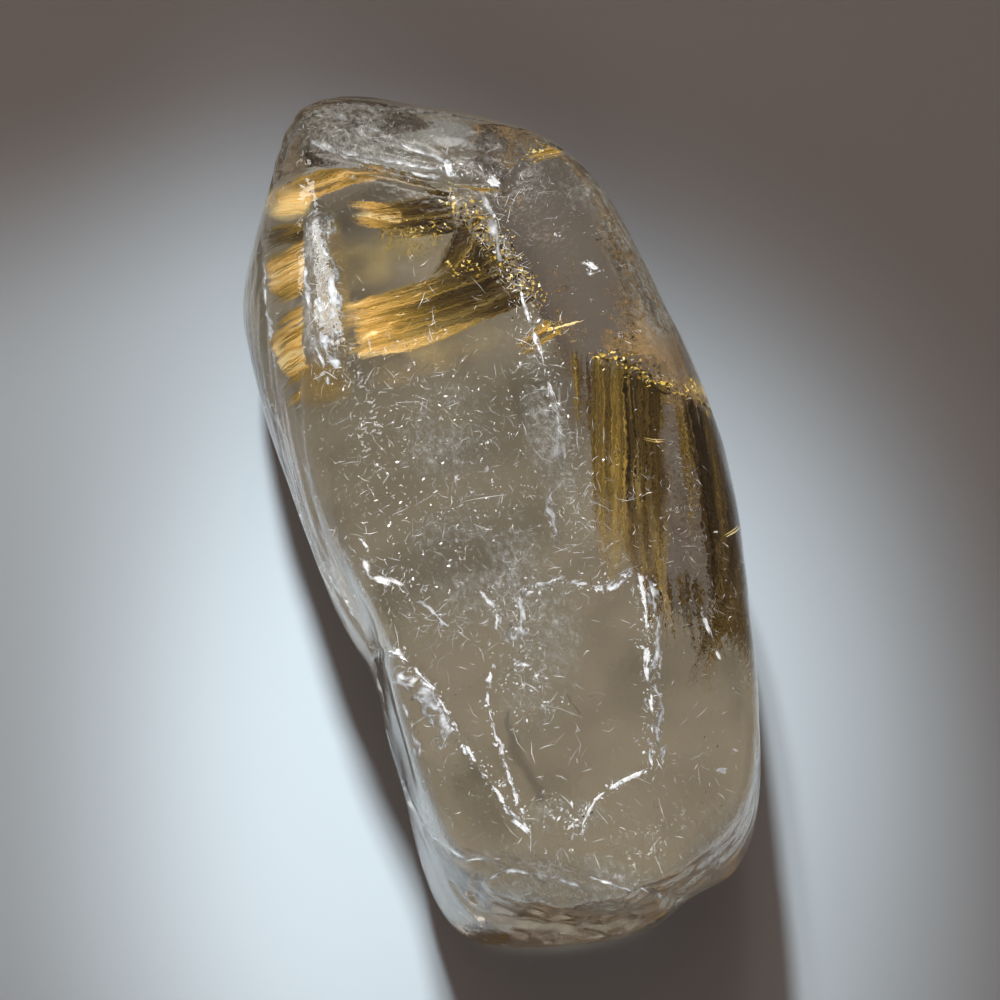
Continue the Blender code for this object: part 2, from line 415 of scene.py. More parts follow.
# Lines that the relief follows, with half width and depth in millimetres.
SKIN_LINES = {
    "far_ledge_upper": ([(262, 128), (330, 132), (400, 148), (455, 160), (500, 176)], 0.7, 0.30),
    "far_ledge_middle": ([(275, 148), (330, 155), (400, 168), (460, 180), (500, 188)], 0.6, 0.35),
    "far_ledge_low": ([(262, 175), (300, 170), (350, 172), (420, 186), (455, 192)], 0.5, 0.25),
    "far_edge_right": ([(500, 185), (520, 160), (560, 150)], 0.7, 0.30),
    "left_rim": (LEFT_RIM, 0.6, 0.30),
    "left_ridge_line": ([(305, 200), (306, 300), (300, 400), (308, 480), (330, 560)], 0.8, 0.22),
    "fracture": ([(372, 650), (390, 652), (415, 668), (436, 690), (447, 715), (462, 740), (480, 768),
        (497, 790), (512, 815), (530, 835)], 0.45, 0.40),
    "fracture_beside": ([(488, 703), (496, 735), (505, 765), (518, 800), (528, 828)], 0.4, 0.25),
    "near_rim": (NEAR_RIM, 0.6, 0.40),
    "near_pit_upper": ([(475, 900), (482, 882), (495, 872), (530, 875), (560, 882)], 0.6, 0.45),
    "near_pit_lower": ([(455, 885), (470, 905), (500, 918), (560, 925), (600, 935)], 0.7, 0.35),
    "near_right_edge": ([(640, 893), (690, 870), (730, 840), (752, 800), (758, 750)], 1.0, 0.25),
    "loop_side": ([(638, 572), (644, 610), (648, 660), (650, 720), (650, 768)], 0.4, 0.15),
    "loop_end": (LOOP_END, 0.35, 0.15),
    "crown_line": ([(470, 235), (490, 300), (500, 360), (520, 430), (545, 520)], 0.5, 0.10),
}


def to_path(points, path):
    """Distance of each point from a path: the least of its distances from the path's pieces."""
    return np.min([to_line(points, a, b) for a, b in zip(path[:-1], path[1:])], axis=0)


def streaks(points, direction, wavelength, seed, count=24):
    """Relief drawn out along one direction: the sum of sines that run almost straight across it."""
    draw = np.random.default_rng(seed)
    direction = unit(np.array(direction, float))
    side = unit(draw.normal(size=(count, 3)))
    side = unit(side - (side @ direction)[:, None] * direction * 0.97)
    pace = 2 * np.pi / (wavelength * draw.uniform(0.6, 1.8, count))
    return np.sin(points @ (side * pace[:, None]).T + draw.uniform(0, 7, count)).sum(axis=-1) / 5


SKIN_PATHS = [(on_skin(pixels), half_width, depth) for pixels, half_width, depth in SKIN_LINES.values()]


def relief_at(skin):
    """Depth of the polish relief in millimetres: swell, the worn lines and the wrinkled faces."""
    relief = 0.12 * (1 + waves(skin, 11, 40, 1)) + 0.04 * (1 + waves(skin, 4.5, 40, 2))
    wobble = 0.3 * waves(skin, 2.2, 12, 3)
    for path, half_width, depth in SKIN_PATHS:
        relief = relief + depth * np.exp(-((to_path(skin, path) / half_width + wobble) ** 2))
    far_cap = mound(skin, (-8, 37, 7), (9, 30, 9), 6.5, 4)
    left = mound(skin, (-14, 26, 3), (-16, 2, 4), 6, 4)
    near = mound(skin, (-9, -38, 8), (3, -39, 6), 8, 4)
    relief = relief + 0.08 * far_cap * (1 + streaks(skin, (0.9, -0.42, 0.15), 1.6, 4))
    relief = relief + 0.07 * left * (1 + streaks(skin, (0.15, 1, 0.3), 1.3, 5))
    return np.maximum(relief + 0.16 * near * (1 + waves(skin, 2.6, 30, 6)), 0)


# How far the skin stands proud, how deep the relief can reach and how far inclusions stay under the skin.
PROUD, RELIEF_REACH, UNDER_SKIN = 0.40, 1.5, 0.15
# Swellings: the far tip, and the filled round end of the far step, as hollows are given.
SWELLINGS = [((-7, 38, 8), (1, 39, 7), 6.0, 1.0), ((11, 27.5, 11), (13, 26.5, 11), 2.6, 0.45)]


def polished_radius(directions):
    """Radius of the finished skin: plain skin + proud + swellings - relief."""
    radius = skin_radius(directions)
    skin = directions * radius[..., None]
    swell = sum(height * mound(skin, *line, width) for *line, width, height in SWELLINGS)
    return radius + PROUD + swell - relief_at(skin)


def held_in(points):
    """Points drawn towards the middle until they lie under the polished skin and above the base."""
    places = points.reshape(-1, 3)
    distance = np.linalg.norm(places, axis=1)
    way = places / distance[:, None]
    shallow = distance > skin_radius(way) - RELIEF_REACH
    distance[shallow] = np.minimum(distance[shallow], polished_radius(way[shallow]) - UNDER_SKIN)
    held = way * distance[:, None]
    held[:, 2] = np.maximum(held[:, 2], UNDER_SKIN - BASE_DEPTH)
    return held.reshape(points.shape)


# %% [markdown]
# The polished skin replaces the plain solid. It is the same shape on a much finer grid, so that it can
# carry the relief. The quartz itself is plain: full transmission, its own IOR, and an absorption that
# gives the smoky tint where the stone is thick.

# %% The polished quartz


def stone_grid(round_steps, along_steps):
    """Directions on a grid of rings from the near pole to the far pole, and faces that close it."""
    along = np.linspace(0, np.pi, along_steps + 1)[1:-1]
    turn = np.linspace(0, 2 * np.pi, round_steps, endpoint=False)
    across = np.sin(along)[:, None] * np.stack([np.cos(turn), np.sin(turn)])[:, None, :]
    rings = np.stack([across[0], -np.cos(along)[:, None] + 0 * turn, across[1]], axis=-1) * HALF_SIZES
    poles = np.array([[0, -1, 0], [0, 1, 0]], float)
    directions = unit(np.concatenate([rings.reshape(-1, 3), poles]))
    index = np.arange(len(along) * round_steps).reshape(len(along), round_steps)
    after = np.roll(index, -1, axis=1)
    sides = np.stack([index[:-1], index[1:], after[1:], after[:-1]], axis=-1).reshape(-1, 4)
    near, far = (np.full(round_steps, len(directions) - back) for back in (2, 1))
    caps = [np.stack([index[0], after[0], near], axis=-1), np.stack([after[-1], index[-1], far], axis=-1)]
    return directions, np.concatenate([triangles_of(sides), *caps])


directions, faces = stone_grid(round_steps=300, along_steps=320)
skin = directions * polished_radius(directions)[:, None]
skin[:, 2] = np.maximum(skin[:, 2], -BASE_DEPTH)

SMOKE_COLOUR, SMOKE_DENSITY = (0.6, 0.45, 0.22, 1), 12.0
quartz, tree = new_material("clear_smoky_quartz")
bump = node(tree, "ShaderNodeBump", inputs={"Strength": 0.15, "Distance": 0.0002,
                                            "Height": stone_noise(tree, 1.6, 1.0)})
output = principled(tree, {"Base Color": (1, 1, 1, 1), "Roughness": 0.0, "IOR": QUARTZ_IOR,
                           "Transmission Weight": 1.0, "Normal": bump})
smoke = node(tree, "ShaderNodeVolumeAbsorption", inputs={"Color": SMOKE_COLOUR, "Density": SMOKE_DENSITY})
tree.links.new(smoke.socket, output.inputs["Volume"])
stone = add_piece("polished_quartz", (skin, faces, None), quartz)
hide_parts("quartz_stone")

# %% [markdown]
# Rutile grows as needles. In each sheaf they start along a ragged root, run in rays, and stop where
# the polish cut them at the flank. A needle is a thin prism that tapers to a point. A bundle is laid
# between three lines of the photograph, and its needles gather in rays, because that is how they grow.

# %% Rutile needles
PRISM_CORNERS = 3
# A needle: share of its width at each step, how far it strays in millimetres, and how ragged and wavy
# the line of the roots is, as shares of the way to the tips.
NEEDLE_SHAPE, NEEDLE_STRAY = np.array([0.3, 1, 1, 0.8, 0.1]), (0.06, 0.06, 0.4)
ROOT_RAGGED, ROOT_WAVE, ROOT_WAVES = 0.06, 0.04, 40


def ways_along(pixels):
    """Length of the way from the first pixel of a line to each of its pixels."""
    return np.concatenate([[0], np.cumsum(np.linalg.norm(np.diff(pixels, axis=0), axis=1))])


def walk(pixels, shares):
    """Pixels at given shares of the way along a line of pixels."""
    pixels = np.array(pixels, float)
    way = ways_along(pixels)
    return np.stack([np.interp(shares * way[-1], way, pixels[:, k]) for k in (0, 1)], axis=-1)


def prisms(paths, widths):
    """Thin prisms along paths (needle, step, xyz), with a width at each step."""
    count, steps, _ = paths.shape
    run = unit(np.gradient(paths, axis=1))
    side = unit(np.cross(run, (0.3, 0.2, 0.93)))
    other = np.cross(run, side)
    turn = np.arange(PRISM_CORNERS) * 2 * np.pi / PRISM_CORNERS
    ring = np.cos(turn)[:, None] * side[:, :, None, :] + np.sin(turn)[:, None] * other[:, :, None, :]
    points = paths[:, :, None, :] + ring * (widths / 2)[:, :, None, None]
    index = np.arange(count * steps * PRISM_CORNERS).reshape(count, steps, PRISM_CORNERS)
    after = np.roll(index, -1, axis=2)
    walls = np.stack([index[:, :-1], after[:, :-1], after[:, 1:], index[:, 1:]], axis=-1).reshape(-1, 4)
    ends = np.concatenate([index[:, 0, ::-1], index[:, -1]])
    return points.reshape(-1, 3), np.concatenate([triangles_of(walls), ends])


def ramp_material(name, stops, roughness, metallic, glow, opacity=False, grain=False):
    """Colour from a ramp along the piece's own U, opacity from its V, both broken up by fine grain
    where asked for; a painted glow, a share of the colour given off as light, stands in for the light
    that the stone passes on."""
    made, tree = new_material(name)
    made.cycles.emission_sampling = "NONE"
    place, cover = own_uv(tree)
    if grain:
        specks = stone_noise(tree, 2.2, 3.0, 0.75, (1, 0.6, 1))
        place = place + (specks - 0.5) * 1.1
        cover = cover * (specks * 4.0 - 1.2)
    colour = node(tree, "ShaderNodeValToRGB", {"stops": stops}, {"Fac": place})
    inputs = {"Base Color": colour, "Emission Color": colour, "Emission Strength": glow,
              "Roughness": roughness, "Metallic": metallic}
    if opacity:
        inputs["Alpha"] = cover
    principled(tree, inputs)
    return made


RUTILE_TONES = ((0.0, (0.012, 0.008, 0.004)), (0.25, (0.07, 0.042, 0.012)), (0.45, (0.17, 0.115, 0.025)),
                (0.65, (0.42, 0.27, 0.055)), (0.85, (0.82, 0.53, 0.17)), (1.0, (1.0, 0.83, 0.44)))
rutile = ramp_material("golden_rutile", RUTILE_TONES, roughness=0.3, metallic=0.3, glow=0.55)


def one_bundle(lines, placed, levels, count, rays, reach, tones, width, draw):
    """Needles of one bundle: curve a (1-t)(1-2t) + 4 b t (1-t) + c t (2t-1) from root to tip."""
    spread = 0.06 + 0.15 * abs(tones[1] - tones[0])
    centres, shifts = draw.uniform(0, 1, rays), draw.normal(0, spread, rays)
    ray = draw.integers(0, rays, count)
    share = np.clip(centres[ray] + draw.normal(0, 0.35 / rays, count), 0, 1)
    a, b, c = (placed(walk(np.reshape(line, (2, 2)), share), level)[:, None]
               for line, level in zip(lines, levels))
    first = np.abs(draw.normal(0, ROOT_RAGGED, count)) + ROOT_WAVE * np.sin(share * ROOT_WAVES)
    last = np.maximum(draw.uniform(*reach, count), first + 0.1)
    along = first[:, None] + (last - first)[:, None] * np.linspace(0, 1, len(NEEDLE_SHAPE))
    t = along[..., None]
    paths = a * (1 - t) * (1 - 2 * t) + 4 * b * t * (1 - t) + c * t * (2 * t - 1)
    paths = paths + draw.normal(0, 1, (count, 1, 3)) * NEEDLE_STRAY
    widths = width * draw.uniform(0.5, 1.5, (count, 1)) * NEEDLE_SHAPE
    tone = tones[0] + (tones[1] - tones[0]) * np.clip(along, 0, 1) ** 1.4 + shifts[ray][:, None]
    tone = np.clip(tone + draw.normal(0, 0.07, (count, 1)), 0.02, 0.98)
    uv = np.stack([tone, along], axis=-1).reshape(-1, 2)
    return *prisms(paths, widths), np.repeat(uv, PRISM_CORNERS, axis=0)


def needles(bundles, seed):
    """All needles of some bundles, drawn one bundle after another and held inside the stone."""
    draw = np.random.default_rng(seed)
    points, faces, uv = joined([one_bundle(*bundle, draw) for bundle in bundles.values()])
    return held_in(points), faces, uv


print("one needle has", (len(NEEDLE_SHAPE) - 1) * 2 * PRISM_CORNERS + 2, "triangles")

# %% [markdown]
# The fan spreads from a dark ragged root to the left flank, and the curtain hangs along the right side.
# Each is made of bundles that follow what the photograph shows, at the height of the solid sheaf that
# they replace. Splinters and single needles lie loose between them.

# %% The two sheaves and the loose needles
# Each bundle: root, middle and tip lines, as x and y of both ends in pixels; how they are placed, with
# the height above the stone's middle or the depth under the skin for each line; needles, rays, reach,
# tones at the root and the tip, and width in millimetres.
FAN_BUNDLES = {
    "arc": (((443, 201, 440, 194), (385, 176, 380, 168), (300, 208, 278, 192)), at_height, (6.2, 6.5, 7.0),
        240, 9, (0.75, 1.05), (0.26, 0.80), 0.07),
    "upper": (((443, 196, 460, 230), (416, 200, 424, 236), (374, 206, 384, 238)), at_height,
        (6.0, 6.3, 6.7), 420, 16, (0.6, 1.1), (0.10, 0.50), 0.08),
    "upper_end": (((390, 206, 392, 232), (372, 204, 376, 228), (344, 202, 350, 224)), at_height,
        (6.5, 6.8, 7.1), 90, 9, (0.5, 1.0), (0.60, 0.85), 0.08),
    "block": (((456, 222, 508, 270), (450, 246, 486, 288), (436, 268, 458, 306)), at_height,
        (6.0, 6.2, 6.4), 340, 16, (0.6, 1.2), (0.10, 0.36), 0.08),
    "lower": (((496, 256, 534, 304), (430, 282, 452, 332), (346, 304, 356, 358)), at_height,
        (6.0, 6.6, 7.2), 820, 28, (0.5, 1.08), (0.12, 0.84), 0.09),
    "lower_edge": (((478, 312, 484, 318), (424, 338, 428, 344), (354, 354, 358, 361)), at_height,
        (6.3, 6.8, 7.3), 50, 4, (0.7, 1.0), (0.40, 0.90), 0.08),
    "flank_top": (((318, 196, 305, 214), (296, 196, 290, 214), (276, 202, 268, 218)), at_depth,
        (2.4, 1.6, 0.6), 100, 8, (0.6, 1.0), (0.84, 0.92), 0.08),
    "flank": (((303, 218, 306, 396), (288, 226, 296, 404), (264, 238, 284, 416)), at_depth, (2.6, 1.8, 0.7),
        380, 24, (0.6, 1.0), (0.75, 0.50), 0.08),
}
CURTAIN_BUNDLES = {
    "olive": (((570, 350, 598, 356), (573, 395, 596, 405), (576, 440, 598, 450)), at_height,
        (5.0, 5.0, 5.0), 60, 8, (0.3, 0.9), (0.30, 0.38), 0.07),
    "left": (((592, 352, 626, 362), (592, 450, 626, 456), (594, 556, 630, 570)), at_height, (5.0, 5.2, 5.0),
        300, 22, (0.3, 1.0), (0.30, 0.42), 0.06),
    "middle": (((624, 360, 664, 390), (628, 455, 663, 462), (630, 565, 666, 585)), at_height,
        (5.6, 5.4, 4.8), 460, 28, (0.3, 1.0), (0.20, 0.30), 0.06),
    "strip": (((664, 392, 690, 398), (672, 460, 700, 462), (676, 540, 706, 545)), at_height,
        (6.0, 5.6, 4.9), 40, 8, (0.4, 1.0), (0.26, 0.34), 0.05),
    "right": (((684, 396, 716, 424), (700, 500, 736, 512), (716, 640, 750, 682)), at_height,
        (6.4, 5.4, 4.0), 440, 26, (0.3, 1.05), (0.10, 0.24), 0.07),
    "low": (((636, 560, 700, 575), (640, 600, 704, 625), (648, 650, 712, 690)), at_height, (4.8, 4.5, 4.2),
        120, 16, (0.2, 0.9), (0.22, 0.30), 0.05),
}
fan = add_piece("fan_needles", needles(FAN_BUNDLES, seed=11), rutile)
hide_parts("rutile_fan")
curtain = add_piece("curtain_needles", needles(CURTAIN_BUNDLES, seed=12), rutile)
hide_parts("rutile_curtain")
STRAY_BUNDLES = {
    "splinters": (((549, 318, 562, 332), (532, 332, 544, 345), (511, 346, 520, 358)), at_height,
        (7.0, 7.0, 7.0), 70, 6, (0.6, 1.0), (0.62, 0.45), 0.13),
    "bright": (((584, 318, 584, 320), (564, 324, 564, 326), (544, 330, 544, 332)), at_height,
        (8.0, 7.8, 7.6), 3, 1, (0.9, 1.0), (0.99, 0.95), 0.17),
    "right": (((742, 528, 742, 529), (733, 533, 733, 534), (724, 538, 724, 539)), at_depth, (1.0, 1.0, 1.0),
        2, 1, (0.9, 1.0), (0.98, 0.98), 0.14),
    "middle": (((664, 440, 664, 441), (652, 440, 652, 441), (641, 437, 641, 438)), at_depth,
        (1.5, 1.5, 1.5), 2, 1, (0.9, 1.0), (0.95, 0.8), 0.10),
    "smear": (((560, 150, 562, 156), (542, 152, 545, 160), (520, 158, 524, 168)), at_depth, (1.0, 1.2, 1.4),
        60, 7, (0.5, 1.0), (0.75, 0.6), 0.10),
    "line": (((500, 190, 500, 193), (478, 190, 478, 193), (452, 184, 452, 187)), at_depth, (1.2, 1.4, 1.6),
        20, 3, (0.7, 1.0), (0.7, 0.75), 0.10),
}
add_piece("stray_needles", needles(STRAY_BUNDLES, seed=13), rutile)

# %% [markdown]
# The stone glitters because it is full of tiny breaks. A break that lies flat to the light flashes
# like a mirror, and most others are grey. Small ones are plates with eight faces, and hairs, short and
# long, are bent prisms. Each has its own place on a ramp from dark to white, a painted flash drawn at
# random that stands for the angle at which it meets the light. The ragged roots of the sheaves are
# plates too, in the rutile's colours.

# %% Glitter and hairs
SILVER_TONES = ((0.0, (0.04, 0.03, 0.022)), (0.3, (0.20, 0.19, 0.18)), (0.6, (0.46, 0.46, 0.46)),
                (0.85, (0.86, 0.88, 0.90)), (1.0, (1.0, 1.0, 1.0)))
GOLD_TONES = ((0.0, (0.02, 0.012, 0.005)), (0.35, (0.22, 0.13, 0.02)), (0.7, (0.80, 0.58, 0.12)),
              (0.9, (1.0, 0.88, 0.35)), (1.0, (1.0, 0.97, 0.80)))
# Both ramps carry painted flashes: each small piece takes its own random tone on them.
silver = ramp_material("silver_breaks_and_painted_flash", SILVER_TONES, roughness=0.3, metallic=0.5, glow=0.9)
gold = ramp_material("gold_flakes_and_painted_glints", GOLD_TONES, roughness=0.3, metallic=0.7, glow=0.9)
# A hair: its steps and the share of its width at each. A plate: two corners on each of three axes.
HAIR_STEPS, HAIR_SHAPE = np.array([-0.5, 0, 0.5]), np.array([0.25, 1, 0.25])
PLATE_CORNERS = 6
PLATE_FACES = np.array([(0, 2, 4), (2, 1, 4), (1, 3, 4), (3, 0, 4),
                        (2, 0, 5), (1, 2, 5), (3, 1, 5), (0, 3, 5)])


def plates(centres, along, facing, sizes):
    """Thin eight-sided plates: centre +- length a / 2, +- width b / 2 and +- thickness n / 2."""
    along = unit(along)
    across = unit(np.cross(facing, along))
    axes = np.stack([along, across, np.cross(along, across)], axis=1) * (sizes / 2)[:, :, None]
    points = centres[:, None, None, :] + axes[:, :, None, :] * np.array([1.0, -1.0])[:, None]
    faces = PLATE_FACES[None] + np.arange(len(centres))[:, None, None] * PLATE_CORNERS
    return points.reshape(-1, 3), faces.reshape(-1, 3)


def strewn_along(pixels, count, spread, depths, draw):
    """Places strewn about a line of pixels, spread in pixels to both sides, at a range of depths."""
    spots = walk(pixels, draw.uniform(0, 1, count)) + draw.normal(0, spread, (count, 2))
    return at_depth(spots, draw.uniform(*depths, count))


def strewn_lines(lines, draw):
    """Places strewn about every line of a table, one line after another."""
    return np.concatenate([strewn_along(*line, draw) for line in lines.values()])


def strewn_inside(count, depths, draw):
    """Places all round the stone, a range of millimetres under the skin."""
    way = unit(draw.normal(size=(count, 3)) * HALF_SIZES)
    return way * (skin_radius(way) - draw.uniform(*depths, count))[:, None]


def tones_for(count, corners, brightness, draw):
    """One ramp place for every corner of each small piece, a painted flash: most are dim and a few are
    painted bright.
    """
    tone = np.clip(brightness + draw.normal(0, 0.22, count), 0.05, 1)
    return np.repeat(np.stack([tone, 0 * tone + 1], axis=-1), corners, axis=0)


def glitter(name, centres, sizes, brightness, material, draw):
    """Plates strewn at the given places, each turned its own way."""
    count = len(centres)
    sizes = np.array(sizes) * draw.lognormal(0, 0.45, (count, 1))
    facing = np.array((0, 0, 1.0)) + draw.normal(0, 0.8, (count, 3))
    points, faces = plates(centres, draw.normal(size=(count, 3)), facing, sizes)
    uv = tones_for(count, PLATE_CORNERS, brightness, draw)
    return add_piece(name, (held_in(points), faces, uv), material, smooth=False)


def hairs(name, centres, length, width, brightness, bent, draw):
    """Thin prisms, a little bent: centre + run s t + side s b (1 - 4 t^2), for t from -1/2 to 1/2."""
    count = len(centres)
    run = unit(draw.normal(size=(count, 3)))
    side = unit(np.cross(run, draw.normal(size=(count, 3))))
    size = length * draw.lognormal(0, 0.5, (count, 1, 1))
    t = HAIR_STEPS[:, None]
    bend = bent * draw.normal(size=(count, 1, 1))
    paths = centres[:, None] + size * (run[:, None] * t + side[:, None] * bend * (1 - 4 * t**2))
    widths = width * draw.uniform(0.6, 1.4, (count, 1)) * HAIR_SHAPE
    points, faces = prisms(paths, widths)
    uv = tones_for(count, len(t) * PRISM_CORNERS, brightness, draw)
    return add_piece(name, (held_in(points), faces, uv), silver)


print("one plate has", len(PLATE_FACES), "triangles")

# %% [markdown]
# The breaks lie where the photograph shows them: along the long fracture, round the loop, down the chain
# from the far end, and thinly everywhere. Their depth can't be seen and is guessed, most of them close
# under the skin.

# %% Where the breaks and flakes lie
CHAIN = [(485, 180), (500, 240), (520, 300), (545, 370), (560, 420)]
UPPER_BODY = [(320, 380), (420, 400), (520, 430)]
MIDDLE_BODY = [(340, 480), (440, 520), (540, 560), (600, 500)]
# Each line of a table: its pixels, how many, spread in pixels, range of depths in millimetres.
SILVER_LINES = {
    "long": ([(372, 650), (390, 652), (436, 690), (455, 733), (495, 785), (530, 835)], 260, 5, (0.3, 1.2)),
    "beside": ([(488, 703), (505, 765), (530, 828)], 90, 3, (0.3, 1.2)),
    "loop_top": ([(515, 590), (540, 583), (600, 585), (635, 575)], 110, 5, (0.4, 1.6)),
    "loop_side": ([(640, 575), (648, 640), (650, 765)], 160, 7, (0.4, 1.6)),
    "loop_end": (LOOP_END, 70, 3, (0.4, 1.4)),
    "chain": (CHAIN, 170, 9, (0.5, 2.5)),
    "far": ([(440, 165), (475, 172), (500, 186)], 80, 5, (0.3, 1.0)),
    # Plates of a painted star glint.
    "star": ([(587, 266), (594, 270)], 22, 3, (0.5, 0.8)),
    "patch_left": ([(490, 590), (525, 600), (530, 640), (520, 690), (545, 720)], 220, 13, (0.5, 3.0)),
    "patch_low": ([(550, 805), (580, 830)], 90, 9, (0.5, 2.5)),
    "body": ([(330, 380), (420, 420), (520, 470), (400, 520), (470, 600)], 420, 45, (0.5, 5.0)),
}
HAIR_LINES = {
    "chain": (CHAIN + [(600, 570)], 520, 12, (0.5, 3.0)),
    "upper": (UPPER_BODY, 420, 34, (0.5, 4.0)),
    "middle": (MIDDLE_BODY, 700, 36, (0.5, 5.0)),
    "left": ([(345, 560), (400, 600), (470, 640), (520, 600)], 420, 24, (0.5, 4.0)),
    "near": ([(400, 700), (440, 780), (520, 850), (640, 840), (700, 760)], 300, 30, (0.5, 4.0)),
    "right": ([(640, 470), (690, 560), (720, 680)], 160, 26, (0.5, 4.0)),
    "far": ([(300, 120), (400, 140), (500, 175), (570, 200)], 420, 16, (0.3, 2.0)),
    "flank": ([(262, 250), (266, 340), (280, 440), (310, 530)], 200, 7, (0.3, 1.2)),
    "bevel": ([(322, 205), (324, 290), (338, 380)], 480, 12, (0.2, 0.8)),
    "loop": ([(520, 600), (525, 680), (545, 720)], 200, 14, (0.5, 2.5)),
    "seam": ([(640, 575), (650, 660), (652, 765)], 160, 6, (0.4, 1.4)),
}
SCRATCH_LINES = {
    "upper": (UPPER_BODY, 110, 34, (0.3, 0.9)),
    "middle": (MIDDLE_BODY, 170, 40, (0.3, 0.9)),
    "left": ([(335, 520), (365, 590), (430, 640), (500, 620)], 90, 22, (0.3, 0.9)),
    "chain": (CHAIN + [(590, 540)], 150, 14, (0.3, 1.2)),
    "chain_left": ([(412, 255), (424, 290), (430, 330), (440, 380)], 36, 5, (0.3, 0.9)),
    "far": ([(300, 130), (400, 140), (500, 175), (560, 200)], 70, 16, (0.3, 0.9)),
    "bevel": ([(318, 215), (320, 290), (332, 370)], 110, 11, (0.2, 0.7)),
    "near": ([(400, 700), (440, 790), (540, 840), (640, 840), (710, 740)], 80, 30, (0.3, 0.9)),
    "loop": ([(530, 600), (535, 680), (590, 760)], 60, 24, (0.3, 1.2)),
}
GOLD_LINES = {
    "fan_root": ([(440, 196), (470, 215), (500, 245), (520, 275), (537, 302)], 560, 8, (5.6, 6.9)),
    "fan_top": ([(385, 242), (415, 238), (440, 230)], 240, 8, (5.4, 6.2)),
    "fan_spots": ([(450, 272), (480, 268)], 50, 5, (5.6, 6.4)),
    "curtain_root": ([(600, 356), (625, 362), (660, 385), (700, 395), (718, 415)], 200, 5, (5.0, 7.0)),
    "splinters": ([(552, 320), (556, 332)], 30, 4, (4.5, 5.5)),
    # These two are painted glints: bright flakes where the skin catches the light.
    "right_glint": ([(688, 383), (694, 390)], 40, 4, (0.3, 0.8)),
    "far_glint": ([(530, 156), (556, 150)], 60, 4, (0.4, 1.0)),
}
ROOT_LINES = {
    "fan_root": ([(442, 200), (470, 222), (497, 245), (512, 272), (530, 300)], 340, 7, (5.8, 7.0)),
    "curtain_root": ([(600, 358), (625, 364), (660, 388), (700, 398), (718, 418)], 160, 4, (5.2, 7.0)),
}
EVERYWHERE = (0.4, 6.0)
# Plates: places, length, width and thickness in millimetres, brightness. Hairs: places, length, width,
# brightness and bend.
draw = np.random.default_rng(21)
glitter("silver_glitter", strewn_lines(SILVER_LINES, draw), (0.22, 0.12, 0.05), 0.66, silver,
        draw)
glitter("silver_specks", strewn_inside(1700, EVERYWHERE, draw), (0.15, 0.09, 0.04), 0.45, silver,
        draw)
places = np.concatenate([strewn_lines(HAIR_LINES, draw), strewn_inside(1000, EVERYWHERE, draw)])
hairs("light_hairs", places, 0.42, 0.045, 0.5, 0.06, draw)
hairs("long_hairs", strewn_lines(SCRATCH_LINES, draw), 1.0, 0.05, 0.62, 0.12, draw)
glitter("gold_flakes_and_painted_glints", strewn_lines(GOLD_LINES, draw), (0.24, 0.14, 0.05), 0.55, gold,
        draw)
glitter("dark_root_flakes", strewn_lines(ROOT_LINES, draw), (0.36, 0.18, 0.06), 0.1, rutile,
        draw)

# %% [markdown]
# Larger breaks are sheets: crackled foil where air has crept in, and cloudy veils where the break has
# healed. Rutile too fine to draw needle by needle is a satin band. All are thin closed sheets through
# places that are seen in the photograph. Each corner carries how bright and how dense the sheet is
# there, worked out from cloud noise that fades outwards, so no edge shows.

# %% Thin sheets
# Thickness in millimetres, the brightness under which a foil is a plain dark sliver, pixels from row to
# row, and how fast a veil fades outwards.
SHEET_THICKNESS, DARK_FOIL, ROW_STEP, VEIL_FADE = 0.05, 0.2, 1.7, 1.2
# Sizes of the clouds that shape the sheets, in pixels.
MARGINS, SWAY, BLOBS, WISPS, DEPTHS = 25, 22, 14, 34, 60
# Cracks are drawn out along a foil, and fibres along a band: along and across, in pixels for each.
CRACK_LENGTH, FIBRE_LENGTH, FIBRE_WIDTH = 3, 24, 1.7


def thin_sheet(places, bright, dense):
    """Closed thin sheet through places (row, column, xyz): two sides, joined round the rim by a wall."""
    rows, columns = bright.shape
    top = held_in(places.reshape(-1, 3))
    low = top * (1 - SHEET_THICKNESS / np.linalg.norm(top, axis=1))[:, None]
    index = np.arange(rows * columns).reshape(rows, columns)
    upper = triangles_of(grid_faces(index))
    rim = np.concatenate([index[0], index[1:, -1], index[-1, -2::-1], index[-2:0:-1, 0]])
    after = np.roll(rim, -1)
    walls = np.stack([rim, after, after + len(top), rim + len(top)], axis=-1)
    points = np.concatenate([top, low])
    faces = np.concatenate([upper, upper[:, ::-1] + len(top), triangles_of(walls)])
    corners = points[faces]
    volume = (corners[:, 0] * np.cross(corners[:, 1], corners[:, 2])).sum()
    uv = np.tile(np.stack([bright.ravel(), dense.ravel()], axis=-1), (2, 1))
    return points, faces if volume > 0 else faces[:, ::-1], uv


def along_line(pixels, half_widths, wander, seed):
    """Grid of pixels about a line: share along, place across from -1 to 1, the pixels and its length."""
    length = ways_along(pixels)[-1]
    steps, columns = max(int(length / ROW_STEP), 8), max(int(max(half_widths) * 1.4), 6)
    shares, across = np.linspace(0, 1, steps), np.linspace(-1, 1, columns)
    line = walk(pixels, shares)
    run = unit(np.gradient(line, axis=0))
    side = np.stack([run[:, 1], -run[:, 0]], axis=-1)
    half = np.interp(shares, np.linspace(0, 1, len(half_widths)), half_widths)
    reach = half * (1 + wander * clouds(line, MARGINS, 2, seed))
    sway = min(half.mean(), 8) * wander * clouds(line, SWAY, 3, seed + 7)
    spots = line[:, None] + side[:, None] * (reach[:, None] * across + sway[:, None])[..., None]
    return shares[:, None], across, spots, length


def flat(first, second):
    """Flat places from two coordinates, for cloud noise."""
    return np.stack(np.broadcast_arrays(first, second), axis=-1)


